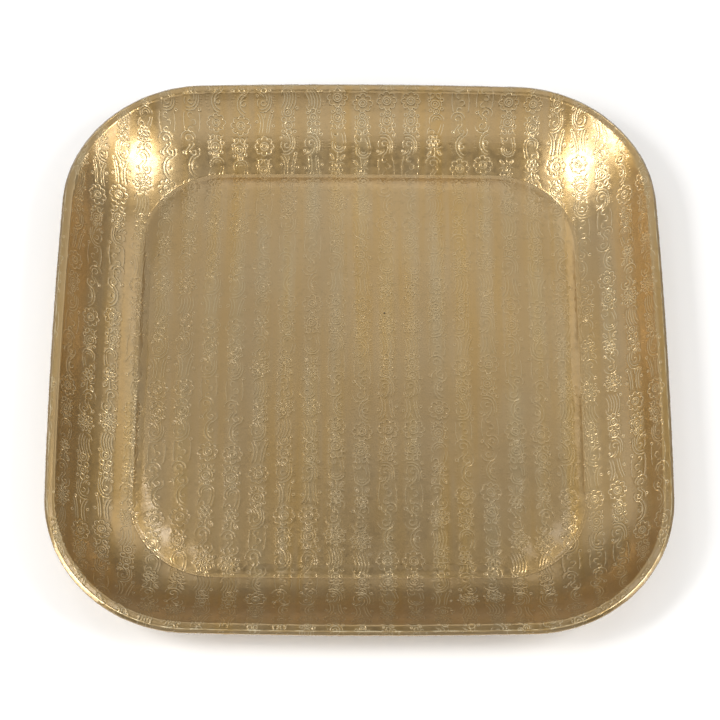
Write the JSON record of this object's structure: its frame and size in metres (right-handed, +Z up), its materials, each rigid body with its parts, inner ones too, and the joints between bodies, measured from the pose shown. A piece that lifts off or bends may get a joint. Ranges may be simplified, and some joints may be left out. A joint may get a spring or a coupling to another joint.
{
  "type": "serving tray",
  "caption": "Square serving tray with rounded corners, a flat floor, dished sloping walls and a rim rolled round a wire, embossed all over in columns.",
  "frame": {"origin": "under the middle of the tray, on the plane that it stands on", "axes": "+Z up out of the tray, +Y towards the far side, +X towards the right-hand side; the embossed columns run along Y"},
  "size_m": [0.5, 0.5, 0.046],
  "materials": {
    "embossed_brass": "satin, aged, embossed",
    "rim_wire_steel": "drawn"
  },
  "bodies": {
    "root": {"tray_pan": "embossed_brass", "rim_wire": "rim_wire_steel"}
  },
  "joints": []
}
